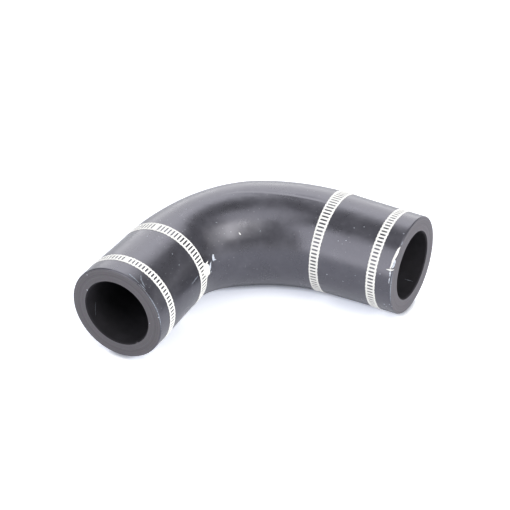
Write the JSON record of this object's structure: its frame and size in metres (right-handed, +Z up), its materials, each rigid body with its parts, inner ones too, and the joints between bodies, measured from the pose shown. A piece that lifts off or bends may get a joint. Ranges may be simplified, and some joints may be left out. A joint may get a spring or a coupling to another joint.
{
  "type": "coolant hose",
  "caption": "Thick-walled moulded rubber elbow hose for engine coolant, open at both square-cut ends, with white clamp position marks.",
  "frame": {"origin": "on the surface that the hose lies on, at the middle of its box", "axes": "+Z up, square to the plane of the bend; the left leg runs along Y and its cut end faces -Y; the right leg runs along X and its cut end faces +X"},
  "size_m": [0.0978, 0.0954, 0.039],
  "materials": {
    "rubber": "black moulded rubber, satin",
    "white_ink": "white marking ink, matte"
  },
  "bodies": {
    "root": {"hose_body": "rubber", "left_outer_mark": "white_ink", "left_inner_mark": "white_ink", "right_inner_mark": "white_ink", "right_outer_mark": "white_ink"}
  },
  "joints": []
}
